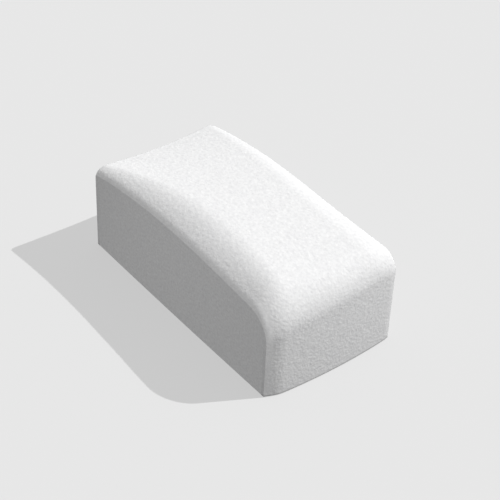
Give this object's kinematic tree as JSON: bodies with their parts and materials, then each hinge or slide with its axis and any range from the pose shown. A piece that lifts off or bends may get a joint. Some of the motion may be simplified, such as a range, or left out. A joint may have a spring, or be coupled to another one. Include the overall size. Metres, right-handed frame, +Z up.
{
  "type": "nail buffer block",
  "caption": "Small soft foam block faced with fine abrasive sheets on every side, held between finger and thumb to smooth and buff nails.",
  "frame": {"origin": "centre of the base, in the plane the block rests on", "axes": "+X along the block towards its well rounded front end, +Y across it, +Z up through the crowned top"},
  "size_m": [0.05, 0.0273, 0.019],
  "materials": {
    "core_foam": "matte closed-cell foam",
    "adhesive": "clear film, edge only",
    "saddle_sheet": "matte, fine white grit",
    "side_sheet": "matte, very fine white grit",
    "base_sheet": "matte, very fine white grit"
  },
  "bodies": {
    "root": {"foam_core": "core_foam", "saddle_adhesive": "adhesive", "left_adhesive": "adhesive", "right_adhesive": "adhesive", "base_adhesive": "adhesive", "saddle_abrasive": "saddle_sheet", "left_abrasive": "side_sheet", "right_abrasive": "side_sheet", "base_abrasive": "base_sheet"}
  },
  "joints": []
}
